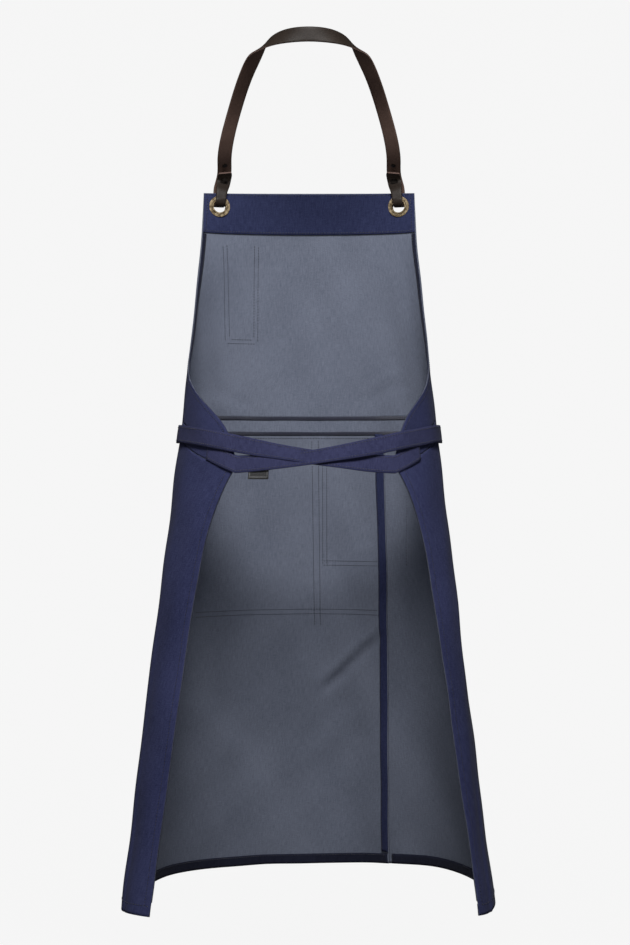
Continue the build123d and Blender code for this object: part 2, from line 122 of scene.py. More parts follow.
def crease(x, z, x0, z0, x1, z1, width):
    """A soft ridge along a line, fading at both ends."""
    run = np.array([x1 - x0, z1 - z0])
    size = np.hypot(*run)
    part = ((x - x0) * run[0] + (z - z0) * run[1]) / size**2
    side = ((x - x0) * run[1] - (z - z0) * run[0]) / size
    fade = ease(part / 0.3) * ease((1.0 - part) / 0.3)
    return fade * (np.exp(-((side / width) ** 2)) - 0.6 * np.exp(-(((side - 1.6 * width) / width) ** 2)))


def ripple(turn, z):
    """How the cloth moves in and out with its folds, shared by every layer that lies on it."""
    x = half_width(z) * np.sin(np.radians(turn))
    down = ease(-z / 500.0)
    folds = 2.6 * down * np.sin(turn / 9.5 + 0.6) + 1.6 * down * np.sin(turn / 5.3 + z / 160.0 + 1.9)
    fine = 0.5 * np.sin(x / 11.0 + z / 23.0) + 0.3 * np.sin(x / 17.0 - z / 14.0 + 1.1)
    fine = fine + 0.25 * np.sin(turn / 3.1 + z / 37.0 + 2.0)
    waist = 0.8 * np.exp(-((z / 26.0) ** 2)) * np.sin(turn / 4.2 + 0.7)
    front = np.abs(turn) < 90.0
    lines = crease(x, z, 104.0, -250.0, 10.0, -345.0, 7.0) * 4.2
    lines = lines + crease(x, z, -150.0, -300.0, -60.0, -420.0, 16.0) * 2.2
    lines = lines + crease(x, z, -20.0, -420.0, 60.0, -330.0, 14.0) * 1.6
    lines = lines + crease(x, z, -126.0, 60.0, -70.0, 30.0, 9.0) * 1.1
    lines = lines + crease(x, z, 126.0, 70.0, 66.0, 34.0, 9.0) * 1.1
    near_top = ease((BIB - z) / 90.0)
    moved = folds + fine * (0.4 + 0.6 * near_top) + waist + np.where(front, lines, 0.0)
    return moved * ease((BIB - 4.0 - z) / 40.0)


def lifted(turn, z, lift):
    turn, z = np.broadcast_arrays(np.asarray(turn, float), np.asarray(z, float))
    lift = np.asarray(lift, float) + ripple(turn, z)
    return on_body(turn, z) + outward(turn, z) * lift[..., None]


# ---------------------------------------------------------------- lines on the cloth
def waist_line(turn):
    return -42.0 * ease((np.abs(turn) - 80.0) / 68.0)


def armhole_turn(side, up):
    step = CORNER[side] - 102.0
    return 60.0 + 42.0 * (1.0 - up) + step / (1.0 + np.exp((up - 0.215) / 0.03))


def flap_turn(side, up):
    return HEM_TURN[side] + (CORNER[side] - HEM_TURN[side]) * (0.4 * up + 0.6 * up**8)


def slit_turn(up):
    return 28.6 + 8.3 * up


def hem_height(turn):
    limit = np.where(turn < 0, HEM_TURN["left"], HEM_TURN["right"])
    rise = np.where(turn < 0, 6.0, 14.0)
    return rise * np.sin(np.pi * np.minimum(np.abs(turn) / limit, 1.0)) ** 2 - SKIRT


def bib_z(turn, up):
    return waist_line(turn) + (BIB - waist_line(turn)) * up


def skirt_z(turn, up):
    return hem_height(turn) + (waist_line(turn) - 0.4 - hem_height(turn)) * up


def tuck_layer(turn):
    return OUTER * (1.0 - ease((turn - 42.0) / 20.0))


def bib_edge(side, up):
    turn = SIDE[side] * armhole_turn(side, up)
    return turn, bib_z(turn, up)


def flap_edge(side, up):
    turn = SIDE[side] * flap_turn(side, up)
    return turn, skirt_z(turn, up)


def slit_edge(side, up):
    turn = slit_turn(up)
    return turn, skirt_z(turn, up)


def inside_edge(side, edge, up, width):
    """The place a given width inside an edge of the cloth, as turn and z."""
    turn, z = edge(side, up)
    before = edge(side, up - 0.004)
    after = edge(side, up + 0.004)
    degree = np.linalg.norm(on_body(turn + 0.5, z) - on_body(turn - 0.5, z), axis=-1)
    run = (after[0] - before[0]) * degree
    rise = after[1] - before[1]
    step = SIDE[side] * width / np.hypot(run, rise)
    return turn - rise * step / degree, z + run * step


def turn_at(x, z):
    return np.degrees(np.arcsin(np.clip(x / half_width(z), -1.0, 1.0)))


# ---------------------------------------------------------------- materials
def new_material(name):
    mat = bpy.data.materials.new(name)
    mat.use_nodes = True
    tree = mat.node_tree
    shader = tree.nodes["Principled BSDF"]
    return mat, tree, shader


def node(tree, kind, inputs=None, **settings):
    made = tree.nodes.new(kind)
    for key, value in settings.items():
        setattr(made, key, value)
    for key, value in (inputs or {}).items():
        if isinstance(value, bpy.types.NodeSocket):
            tree.links.new(value, made.inputs[key])
        else:
            made.inputs[key].default_value = value
    return made


def ramp(tree, factor, stops):
    made = node(tree, "ShaderNodeValToRGB", {"Fac": factor})
    points = made.color_ramp.elements
    while len(points) < len(stops):
        points.new(0.5)
    for point, (place, colour) in zip(points, stops):
        point.position = place
        point.color = (*colour, 1.0)
    return made.outputs["Color"]


def scaled_uv(tree, across, along, turn=0.0):
    uv = node(tree, "ShaderNodeUVMap", uv_map="cloth")
    settings = {"Vector": uv.outputs["UV"], "Scale": (across, along, 1.0), "Rotation": (0, 0, turn)}
    return node(tree, "ShaderNodeMapping", settings).outputs["Vector"]


def denim(name, dark, light, flecks=0.5, rough=0.85, sheen=0.04, fade=0.25, twill=0.35):
    """Twill: streaks along the warp, short flecks along the weft, a fine diagonal rib, and slow fading."""
    mat, tree, shader = new_material(name)
    warp = node(tree, "ShaderNodeTexNoise", {"Vector": scaled_uv(tree, 900, 90), "Scale": 1.0, "Detail": 3.0})
    weft = node(
        tree, "ShaderNodeTexNoise",
        {"Vector": scaled_uv(tree, 140, 1000), "Scale": 1.0, "Detail": 2.0},
    )
    rib = node(
        tree,
        "ShaderNodeTexWave",
        {"Vector": scaled_uv(tree, 1.0, 1.0, 0.62), "Scale": 300.0, "Distortion": 1.2, "Detail": 2.0},
        wave_type="BANDS",
        bands_direction="X",
    )
    slow = node(tree, "ShaderNodeTexNoise", {"Vector": scaled_uv(tree, 9, 6), "Scale": 1.0, "Detail": 5.0})
    threads = node(
        tree, "ShaderNodeMix",
        {"Factor": 0.42, "A": warp.outputs["Fac"], "B": weft.outputs["Fac"]},
    )
    woven = node(
        tree, "ShaderNodeMix",
        {"Factor": twill, "A": threads.outputs["Result"], "B": rib.outputs["Fac"]},
    )
    aged = node(
        tree, "ShaderNodeMix",
        {"Factor": fade, "A": woven.outputs["Result"], "B": slow.outputs["Fac"]},
    )
    middle = tuple(mix(a, b, 0.45) for a, b in zip(dark, light))
    colour = ramp(
        tree, aged.outputs["Result"],
        [(0.5 - flecks / 4, dark), (0.5, middle), (0.5 + flecks / 4, light)],
    )
    tree.links.new(colour, shader.inputs["Base Color"])
    dull = node(
        tree, "ShaderNodeMapRange",
        {"Value": slow.outputs["Fac"], "To Min": rough - 0.06, "To Max": rough + 0.08},
    )
    tree.links.new(dull.outputs["Result"], shader.inputs["Roughness"])
    bump = node(
        tree, "ShaderNodeBump", {"Strength": 0.5, "Distance": 0.0004, "Height": woven.outputs["Result"]}
    )
    tree.links.new(bump.outputs["Normal"], shader.inputs["Normal"])
    shader.inputs["Sheen Weight"].default_value = sheen
    shader.inputs["Sheen Roughness"].default_value = 0.5
    shader.inputs["Specular IOR Level"].default_value = 0.08
    return mat


def thread_material(name, dark, light, pitch):
    """Close parallel threads lying across a strip."""
    mat, tree, shader = new_material(name)
    lines = node(
        tree,
        "ShaderNodeTexWave",
        {"Vector": scaled_uv(tree, 1.0, 1.0, 0.25), "Scale": pitch, "Distortion": 2.0, "Detail": 2.0},
        wave_type="BANDS",
        bands_direction="X",
    )
    fuzz = node(
        tree, "ShaderNodeTexNoise",
        {"Vector": scaled_uv(tree, 400, 400), "Scale": 1.0, "Detail": 3.0},
    )
    both = node(tree, "ShaderNodeMix", {"Factor": 0.4, "A": lines.outputs["Fac"], "B": fuzz.outputs["Fac"]})
    colour = ramp(tree, both.outputs["Result"], [(0.25, dark), (0.75, light)])
    tree.links.new(colour, shader.inputs["Base Color"])
    bump = node(tree, "ShaderNodeBump", {"Strength": 0.8, "Distance": 0.0005, "Height": lines.outputs["Fac"]})
    tree.links.new(bump.outputs["Normal"], shader.inputs["Normal"])
    shader.inputs["Roughness"].default_value = 0.8
    shader.inputs["Sheen Weight"].default_value = 0.2
    return mat


def leather(name, dark, light, rough, grain, bump_size, speckle):
    mat, tree, shader = new_material(name)
    place = node(tree, "ShaderNodeTexCoord").outputs["Object"]
    cells = node(tree, "ShaderNodeTexVoronoi", {"Vector": place, "Scale": grain}, feature="DISTANCE_TO_EDGE")
    fine = node(tree, "ShaderNodeTexNoise", {"Vector": place, "Scale": speckle, "Detail": 6.0})
    cloud = node(tree, "ShaderNodeTexNoise", {"Vector": place, "Scale": 22.0, "Detail": 4.0})
    tone = node(tree, "ShaderNodeMix", {"Factor": 0.45, "A": fine.outputs["Fac"], "B": cloud.outputs["Fac"]})
    colour = ramp(tree, tone.outputs["Result"], [(0.32, dark), (0.68, light)])
    tree.links.new(colour, shader.inputs["Base Color"])
    dull = node(
        tree, "ShaderNodeMapRange",
        {"Value": cloud.outputs["Fac"], "To Min": rough - 0.08, "To Max": rough + 0.1}
    )
    tree.links.new(dull.outputs["Result"], shader.inputs["Roughness"])
    height = node(
        tree, "ShaderNodeMix",
        {"Factor": 0.5, "A": cells.outputs["Distance"], "B": fine.outputs["Fac"]},
    )
    bump = node(
        tree, "ShaderNodeBump", {"Strength": 0.45, "Distance": bump_size, "Height": height.outputs["Result"]}
    )
    tree.links.new(bump.outputs["Normal"], shader.inputs["Normal"])
    shader.inputs["Specular IOR Level"].default_value = 0.22
    return mat


def metal(name, dark, light, rough, metallic=1.0):
    mat, tree, shader = new_material(name)
    place = node(tree, "ShaderNodeTexCoord").outputs["Object"]
    worn = node(tree, "ShaderNodeTexNoise", {"Vector": place, "Scale": 260.0, "Detail": 5.0})
    scuffs = node(tree, "ShaderNodeTexNoise", {"Vector": place, "Scale": 1500.0, "Detail": 3.0})
    colour = ramp(tree, worn.outputs["Fac"], [(0.38, dark), (0.66, light)])
    tree.links.new(colour, shader.inputs["Base Color"])
    dull = node(
        tree, "ShaderNodeMapRange",
        {"Value": scuffs.outputs["Fac"], "To Min": rough - 0.08, "To Max": rough + 0.15}
    )
    tree.links.new(dull.outputs["Result"], shader.inputs["Roughness"])
    bump = node(
        tree, "ShaderNodeBump",
        {"Strength": 0.15, "Distance": 0.0001, "Height": scuffs.outputs["Fac"]},
    )
    tree.links.new(bump.outputs["Normal"], shader.inputs["Normal"])
    shader.inputs["Metallic"].default_value = metallic
    return mat


PALE = denim("denim_inside", (0.1, 0.115, 0.16), (0.245, 0.27, 0.345), flecks=0.75)
INDIGO = denim("denim_outside", (0.011, 0.014, 0.048), (0.062, 0.07, 0.165), flecks=0.7)
FACING = denim("facing_denim", (0.01, 0.013, 0.042), (0.05, 0.06, 0.14), flecks=0.7)
HEM = denim("hem_denim", (0.006, 0.007, 0.016), (0.03, 0.033, 0.06), flecks=0.7)
TIE = denim("tie_denim", (0.014, 0.016, 0.045), (0.062, 0.066, 0.15), flecks=0.7)
RAW = denim("cut_edge", (0.03, 0.035, 0.06), (0.14, 0.15, 0.2), flecks=0.9)
OVERLOCK = thread_material("overlock_thread", (0.005, 0.006, 0.016), (0.04, 0.044, 0.09), 420.0)
THREAD = thread_material("sewing_thread", (0.004, 0.005, 0.012), (0.02, 0.022, 0.045), 900.0)
LABEL = thread_material("label_weave", (0.004, 0.004, 0.005), (0.02, 0.02, 0.023), 700.0)
LABEL_MARK = thread_material("label_border", (0.1, 0.1, 0.1), (0.3, 0.3, 0.3), 700.0)
GRAIN = leather("leather_grain", (0.013, 0.009, 0.007), (0.036, 0.026, 0.02), 0.48, 900.0, 0.00025, 700.0)
FLESH = leather("leather_flesh", (0.075, 0.043, 0.034), (0.19, 0.12, 0.095), 0.9, 500.0, 0.0004, 1300.0)
LEATHER_EDGE = leather("leather_edge", (0.1, 0.06, 0.05), (0.21, 0.14, 0.12), 0.75, 700.0, 0.0002, 1500.0)
BRASS = metal("antique_brass", (0.1, 0.072, 0.04), (0.34, 0.27, 0.17), 0.32)
SNAP = metal("snap_metal", (0.02, 0.016, 0.014), (0.1, 0.085, 0.075), 0.32, 0.9)


# ---------------------------------------------------------------- mesh building
def build(name, points, faces, materials, indices, uvs=None, smooth=None):
    mesh = bpy.data.meshes.new(name)
    mesh.from_pydata((np.asarray(points) * MM).tolist(), [], faces)
    for mat in materials:
        mesh.materials.append(mat)
    mesh.polygons.foreach_set("material_index", indices)
    mesh.polygons.foreach_set("use_smooth", [True] * len(faces) if smooth is None else smooth)
    if uvs is not None:
        layer = mesh.uv_layers.new(name="cloth")
        corner = np.zeros(len(mesh.loops), dtype=np.int32)
        mesh.loops.foreach_get("vertex_index", corner)
        layer.data.foreach_set("uv", (np.asarray(uvs)[corner] * MM).astype(np.float32).ravel())
    mesh.update()
    obj = bpy.data.objects.new(name, mesh)
    bpy.context.collection.objects.link(obj)
    return obj


def slab(name, place, columns, rows, thickness, materials):
    """A thin closed solid between place(across, up, 0) and place(across, up, thickness).
    The materials are for its inner face, its outer face and its edge."""
    across, up = np.meshgrid(np.linspace(0, 1, columns + 1), np.linspace(0, 1, rows + 1))
    inner = place(across, up, 0.0)
    outer = place(across, up, thickness)
    step_u = np.linalg.norm(np.diff(inner, axis=1), axis=-1)
    step_v = np.linalg.norm(np.diff(inner, axis=0), axis=-1)
    u = np.concatenate([np.zeros((rows + 1, 1)), np.cumsum(step_u, axis=1)], axis=1)
    v = np.concatenate([np.zeros((1, columns + 1)), np.cumsum(step_v, axis=0)], axis=0)
    middle = columns // 2
    u = u - u[:, middle : middle + 1]
    uv = np.stack([u, v], axis=-1).reshape(-1, 2)
    wide = columns + 1
    count = wide * (rows + 1)
    faces, index, smooth = [], [], []
    for j in range(rows):
        for i in range(columns):
            a = j * wide + i
            faces.append((a, a + wide, a + wide + 1, a + 1))
            index.append(0)
            faces.append((count + a, count + a + 1, count + a + wide + 1, count + a + wide))
            index.append(1)
    smooth = [True] * len(faces)
    ring = list(range(wide))
    ring += [j * wide + columns for j in range(1, rows + 1)]
    ring += [rows * wide + i for i in range(columns - 1, -1, -1)]
    ring += [j * wide for j in range(rows - 1, 0, -1)]
    for a, b in zip(ring, ring[1:] + ring[:1]):
        faces.append((a, b, count + b, count + a))
        index.append(2)
        smooth.append(False)
    points = np.concatenate([inner.reshape(-1, 3), outer.reshape(-1, 3)])
    normal = np.cross(inner[0, 1] - inner[0, 0], inner[1, 0] - inner[0, 0])
    if np.dot(normal, outer[0, 0] - inner[0, 0]) < 0:
        faces = [tuple(reversed(face)) for face in faces]
    return build(name, points, faces, materials, index, np.concatenate([uv, uv]), smooth)


def size_of(place, columns=60, rows=60):
    """Width and length of a piece, and its area, from its own surface."""
    across, up = np.meshgrid(np.linspace(0, 1, columns + 1), np.linspace(0, 1, rows + 1))
    grid = place(across, up, 0.0)
    du, dv = np.diff(grid, axis=1)[:-1], np.diff(grid, axis=0)[:, :-1]
    area = np.linalg.norm(np.cross(du, dv), axis=-1).sum()
    width = np.linalg.norm(np.diff(grid, axis=1), axis=-1).sum(axis=1).max()
    length = np.linalg.norm(np.diff(grid, axis=0), axis=-1).sum(axis=0).max()
    return width * MM, length * MM, area * MM * MM


def cloth_piece(name, nodes, place, columns, rows, thickness, materials):
    obj = slab(name, place, columns, rows, thickness, materials)
    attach(obj, "apron")
    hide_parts(*nodes)
    width, length, area = size_of(place)
    width, length = max(width, NARROWEST), max(length, NARROWEST)


stitches = {"points": [], "faces": [], "index": [], "uv": []}


def stitch_line(points, normals, length=2.9, gap=0.7, radius=0.46):
    """Sews along a line: one small raised thread for each stitch."""
    points = np.asarray(points, float)
    normals = np.asarray(normals, float)
    walk = np.concatenate([[0.0], np.cumsum(np.linalg.norm(np.diff(points, axis=0), axis=1))])
    count = int(walk[-1] // (length + gap))
    for number in range(count):
        start = number * (length + gap)
        spots = [start, start + length * 0.3, start + length * 0.7, start + length]
        line = np.array([[np.interp(s, walk, points[:, k]) for k in range(3)] for s in spots])
        up = np.array([np.interp(start, walk, normals[:, k]) for k in range(3)])
        up = up / np.linalg.norm(up)
        along = line[3] - line[0]
        along = along / np.linalg.norm(along)
        side = np.cross(along, up)
        base = len(stitches["points"])
        stitches["points"].append(line[0] - up * radius * 0.6)
        for spot in line[1:3]:
            stitches["points"] += [
                spot + side * radius, spot + up * radius, spot - side * radius, spot - up * radius,
            ]
        stitches["points"].append(line[3] - up * radius * 0.6)
        for k in range(4):
            n = (k + 1) % 4
            stitches["faces"].append((base, base + 1 + n, base + 1 + k))
            stitches["faces"].append((base + 1 + k, base + 1 + n, base + 5 + n, base + 5 + k))
            stitches["faces"].append((base + 9, base + 5 + k, base + 5 + n))
        stitches["index"] += [0] * 12
        stitches["uv"] += [(0.0, s) for s in (0, 1, 1, 1, 1, 2, 2, 2, 2, 3)]


def sew(path, inside=None, outside=None, count=160):
    """Sews along path(part) = (turn, z), on the inside at one lift and on the outside at another."""
    part = np.linspace(0, 1, count)
    turn, z = path(part)
    turn, z = np.broadcast_arrays(np.asarray(turn, float), np.asarray(z, float))
    out = outward(turn, z)
    if inside is not None:
        stitch_line(lifted(turn, z, inside), -out)
    if outside is not None:
        stitch_line(lifted(turn, z, outside), out)


# ---------------------------------------------------------------- bib
def bib_place(lift, low, high, inset=0.0):
    def place(across, up, through):
        height = mix(low, high, up)
        turn = mix(-armhole_turn("left", height) + inset, armhole_turn("right", height) - inset, across)
        return lifted(turn, bib_z(turn, height), lift + through)

    return place


def strip_place(side, edge, low, high, width, lift=INNER, start=0.4):
    def place(across, up, through):
        turn, z = inside_edge(side, edge, mix(low, high, up), start + (width - start) * (1.0 - across))
        return lifted(turn, z, lift + through)

    return place


def holed(obj):
    """Opens the cloth where the grommets go through."""
    for sign in (-1, 1):
        turn = turn_at(np.array(sign * GROMMET[0]), np.array(GROMMET[1]))
        middle = on_body(turn, np.array(GROMMET[1]))
        out = outward(turn, np.array(GROMMET[1]))
        count = 48
        across = np.cross(out, (0.0, 0.0, 1.0))
        across = across / np.linalg.norm(across)
        over = np.cross(across, out)
        angles = np.linspace(0, 2 * np.pi, count, endpoint=False)
        rim = np.array([across * np.cos(a) * 9.0 + over * np.sin(a) * 9.0 for a in angles])
        points = np.concatenate([middle + rim - out * 8.0, middle + rim + out * 8.0])
        faces = [tuple(range(count)), tuple(range(2 * count - 1, count - 1, -1))]
        faces += [(i, count + i, count + (i + 1) % count, (i + 1) % count) for i in range(count)]
        cutter = build("cutter", points, faces, [], [0] * len(faces))
        cut = obj.modifiers.new("hole", "BOOLEAN")
        cut.operation = "DIFFERENCE"
        cut.solver = "EXACT"
        cut.object = cutter
        bpy.context.view_layer.objects.active = obj
        bpy.ops.object.modifier_apply(modifier="hole")
        bpy.data.objects.remove(cutter, do_unlink=True)


bib = slab("bib", bib_place(0.0, BAND_TOP + 0.4 / BIB, 1.0), 150, 130, CLOTH, [PALE, INDIGO, RAW])
holed(bib)
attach(bib, "apron")
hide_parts("bib_panel")
bib_width, bib_length, bib_area = size_of(bib_place(0.0, BAND_TOP, 1.0))

facing = slab("top_facing", bib_place(INNER, FACING_LOW, 0.998, 0.3), 110, 26, HEM_CLOTH, [FACING, PALE, RAW])
holed(facing)
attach(facing, "apron")
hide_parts("bib_top_facing")
facing_width, facing_length, facing_area = size_of(bib_place(INNER, FACING_LOW, 0.998, 0.3))

cloth_piece(
    "waist_band", ["waistband"], bib_place(0.0, 0.0, BAND_TOP), 220, 8, CLOTH,
    [PALE, INDIGO, RAW],
)
for side in ("left", "right"):
    cloth_piece(
        f"{side}_armhole_edge",
        [f"{side}_armhole_hem"],
        strip_place(side, bib_edge, 0.01, FACING_LOW - 0.004, 6.0),
        3,
        120,
        HEM_CLOTH,
        [HEM, PALE, HEM],
    )


# ---------------------------------------------------------------- skirt
def main_place(across, up, through):
    turn = mix(-flap_turn("left", up), slit_turn(up), across)
    return lifted(turn, skirt_z(turn, up), through)


def side_place(across, up, through):
    turn = mix(10.0, flap_turn("right", up), across)
    return lifted(turn, skirt_z(turn, up), tuck_layer(turn) + through)


def bottom_place(first, last, layer):
    def place(across, up, through):
        turn = mix(first, last, across)
        return lifted(turn, hem_height(turn) + mix(0.3, 13.0, up), INNER + layer(turn) + through)

    return place


cloth_piece(
    "skirt_main", ["skirt_main_panel"], main_place, 170, 150, CLOTH,
    [PALE, INDIGO, RAW],
)
cloth_piece(
    "skirt_side", ["skirt_side_panel"], side_place, 150, 150, CLOTH,
    [PALE, INDIGO, RAW],
)
cloth_piece(
    "slit_edge_facing",
    ["slit_facing"],
    strip_place("right", slit_edge, 0.026, 0.997, 12.0),
    5,
    150,
    HEM_CLOTH,
    [FACING, PALE, HEM],
)
cloth_piece(
    "main_hem",
    ["main_bottom_hem"],
    bottom_place(-HEM_TURN["left"] + 0.2, 28.4, lambda turn: 0.0 * turn),
    150,
    4,
    HEM_CLOTH,
    [HEM, PALE, HEM],
)
cloth_piece(
    "side_hem",
    ["side_bottom_hem"],
    bottom_place(30.0, HEM_TURN["right"] - 0.2, tuck_layer),
    120,
    4,
    HEM_CLOTH,
    [HEM, PALE, HEM],
)
for side in ("left", "right"):
    cloth_piece(
        f"{side}_back_edge",
        [f"{side}_edge_hem"],
        strip_place(side, flap_edge, 0.03, 0.985, 9.0),
        4,
        120,
        HEM_CLOTH,
        [HEM, PALE, HEM],
    )


# ---------------------------------------------------------------- pockets
FRONT = {"left": -142.0, "right": 144.0, "low": -231.0, "high": -13.0}
PATCH = {"left": 17.0, "right": 128.0, "low": -168.0, "high": -24.0}
PINCH = (9.0 - FRONT["left"]) / (FRONT["right"] - FRONT["left"])


def pocket_place(box, lift, bulge, pinch=None):
    def place(across, up, through):
        z = mix(box["low"], box["high"], up)
        x = mix(box["left"], box["right"], across)
        part = across
        if pinch is not None:
            part = np.where(across < pinch, across / pinch, (across - pinch) / (1.0 - pinch))
        swell = 1.0 - np.abs(2.0 * part - 1.0) ** 3
        rise = 1.0 - (1.0 - up) ** 3
        return lifted(turn_at(x, z), z, lift + bulge * swell * rise + through)

    return place


def patch_place(across, up, through):
    z = mix(PATCH["low"], PATCH["high"], up)
    x = mix(PATCH["left"], PATCH["right"], across)
    front = pocket_place(FRONT, OUTER + CLOTH + GAP, 13.0, PINCH)
    under = front(
        (x - FRONT["left"]) / (FRONT["right"] - FRONT["left"]),
        (z - FRONT["low"]) / 218.0, np.asarray(through)
    )
    swell = (1.0 - np.abs(2.0 * across - 1.0) ** 3) * (1.0 - (1.0 - up) ** 3)
    return under + outward(turn_at(x, z), z) * (OUTER + 0.2 + 9.0 * swell)[..., None]


PEN = {"left": -114.0, "right": -68.0, "low": 116.0, "high": 246.0}
for name, cad, place, columns, rows in (
    ("pen_pocket_patch", "pen_pocket", pocket_place(PEN, OUTER, 9.0), 30, 60),
    ("hand_pocket", "front_pocket", pocket_place(FRONT, OUTER + CLOTH + GAP, 13.0, PINCH), 120, 80),
    ("small_pocket", "patch_pocket", patch_place, 50, 60),
):
    cloth_piece(name, [cad], place, columns, rows, CLOTH, [PALE, INDIGO, INDIGO])


# ---------------------------------------------------------------- ties and label
def tie_height(travel, corner_to_side):
    rise = ease(travel / corner_to_side / 0.92)
    onward = ease((travel - corner_to_side) / 90.0)
    return np.where(travel < 0, -42.0 - travel, -42.0 + 38.0 * rise + 14.0 * onward)


TIE_END = {"left": 4.0, "right": 2.0}


def tie_path(side, across):
    corner = CORNER[side]
    travel = mix(-17.0, 360.0 - corner - TIE_END[side], across)
    turn = -SIDE[side] * (360.0 - corner - travel)
    lift = mix(OUTER, TIE_LAYER[side], ease((travel + 2.0) / 8.0))
    if side == "right":
        lift = lift + 1.8 * ease((travel - 61.0) / 9.0)
    else:
        lift = lift + np.where(turn < 60.0, 7.0 * ease((TIE_END["left"] + 13.0 - turn) / 9.0), 0.0)
    return travel, turn, lift, tie_height(travel, 270.0 - corner)


def tie_place(side):
    def place(across, up, through):
        travel, turn, lift, height = tie_path(side, across)
        back = np.exp(-(((np.abs(turn) - 180.0) / 30.0) ** 2))
        lean = np.radians(30.0) * back
        z = height + TIE_WIDTH * (up - 0.5) * np.cos(lean)
        curl = 0.35 * np.sin(travel / 6.0) * np.sin(np.pi * up)
        return lifted(turn, z, lift + through + curl - TIE_WIDTH * (up - 0.5) * np.sin(lean) * 0.6)

    return place


def tail_place(side, top):
    middle = {"left": -8.0, "right": -34.0}[side]

    def place(across, up, through):
        z = mix(top - 235.0, top, up)
        near = TIE_LAYER["right"] + 2.2
        fall = ease((19.0 - z) / 30.0) if side == "right" else 1.0
        y = front_y(np.minimum(z, 0.0)) + mix(near, 18.5, fall) + through
        wave = 1.6 * np.sin(z / 31.0 + middle) * ease(-z / 80.0)
        return np.stack([middle + TIE_WIDTH * (across - 0.5) + 0.0 * z + wave, y + wave * 0.3, z], axis=-1)

    return place


def join_named(name, objects):
    bpy.ops.object.select_all(action="DESELECT")
    for obj in objects:
        obj.select_set(True)
    bpy.context.view_layer.objects.active = objects[0]
    bpy.ops.object.join()
    objects[0].name = name
    return objects[0]


def knot_mesh():
    """The tied knot: a soft rounded lump with one pass of the band across its face."""
    rows, columns = 40, 48
    lat = np.linspace(-np.pi / 2, np.pi / 2, rows + 1)
    lon = np.linspace(0, 2 * np.pi, columns, endpoint=False)
    points = []
    for a in lat:
        for b in lon:
            shape = np.array([np.cos(a) * np.cos(b), np.cos(a) * np.sin(b), np.sin(a)])
            soft = np.sign(shape) * np.abs(shape) ** 0.62
            band = 1.0 + 0.09 * ease((0.42 - abs(shape[0] + 0.35 * shape[2])) / 0.12)
            fold = 1.0 + 0.03 * np.sin(9.0 * shape[2] + 3.0 * shape[0])
            points.append(soft * np.array([15.0, 6.2, 12.6]) * band * fold)
    middle = np.array([0.0, front_y(10.0) + TIE_LAYER["left"] + 2.6 + 6.5, 10.0])
    faces = []
    for j in range(rows):
        for i in range(columns):
            n = (i + 1) % columns
            faces.append((j * columns + i, j * columns + n, (j + 1) * columns + n, (j + 1) * columns + i))
    uv = [(i * 1.6, j * 1.2) for j in range(rows + 1) for i in range(columns)]
    return build("knot", np.array(points) + middle, faces, [TIE], [0] * len(faces), uv)


for side in ("left", "right"):
    place = tie_place(side)
    band = slab(f"{side}_waist_tie", place, 260, 8, CLOTH, [TIE, TIE, HEM])
    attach(band, "apron")
    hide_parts(f"{side}_tie")
    tie_width, tie_length, tie_area = size_of(place, 200, 8)
    top = {"left": 6.0, "right": 21.0}[side]
    tail = slab(f"{side}_tie_tail", tail_place(side, top), 8, 90, CLOTH, [TIE, TIE, HEM])
    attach(tail, "apron")
    for edge in (0.13, 0.87):
        part = np.linspace(0.0, 0.985, 420)
        travel, turn, lift, height = tie_path(side, part)
        line = place(part, np.full_like(part, edge), CLOTH + 0.1)
        stitch_line(line, outward(turn, height))
knot = knot_mesh()
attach(knot, "apron")


def label_place(across, up, through):
    height = mix(-61.0, -44.0, up)
    x = mix(-71.0, -47.0, across)
    turn = -180.0 - np.degrees(np.arcsin(x / half_width(height)))
    return lifted(turn, height, TIE_LAYER["left"] - 1.1 + through + 3.4 * (1.0 - up))


label = slab("sewn_label", label_place, 10, 8, 0.6, [LABEL, LABEL, LABEL])
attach(label, "apron")
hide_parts("woven_label")
label_width, label_length, label_area = size_of(label_place)
marks = []
for number, (left, low, wide, high) in enumerate(
    ((0.06, 0.12, 0.88, 0.06), (0.06, 0.62, 0.88, 0.06), (0.06, 0.18, 0.03, 0.44), (0.91, 0.18, 0.03, 0.44))
):

    def mark_place(across, up, through, left=left, low=low, wide=wide, high=high):
        return label_place(left + wide * across, low + high * up, 0.62 + through)

    marks.append(slab(f"label_border_{number}", mark_place, 2, 2, 0.08, [LABEL_MARK] * 3))
mark = join_named("label_border", marks)
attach(mark, "apron")


# ---------------------------------------------------------------- overlocked seams of the waist
def overlock(name, height, limit, drop=1.0, wide=4.6):
    def place(across, up, through):
        turn = mix(-limit, limit, across)
        z = mix(height, height + waist_line(turn), drop) + wide * (up - 0.5)
        return lifted(turn, z, -0.55 + through)

    obj = slab(name, place, 240, 3, 0.45, [OVERLOCK] * 3)
    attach(obj, "apron")


overlock("waist_overlock_low", -1.0, 100.0)
overlock("waist_overlock_high", 18.6, 100.0)

# ---------------------------------------------------------------- topstitching
UNDER = -0.12
UNDER_HEM = INNER - 0.1
OVER = CLOTH + 0.12


def upright(x_low, x_high, z_low, z_high):
    def path(part):
        z = mix(z_low, z_high, part)
        return turn_at(mix(x_low, x_high, part), z), z

    return path


def level(x0, x1, z):
    return lambda part: (turn_at(mix(x0, x1, part), z), z + 0.0 * part)


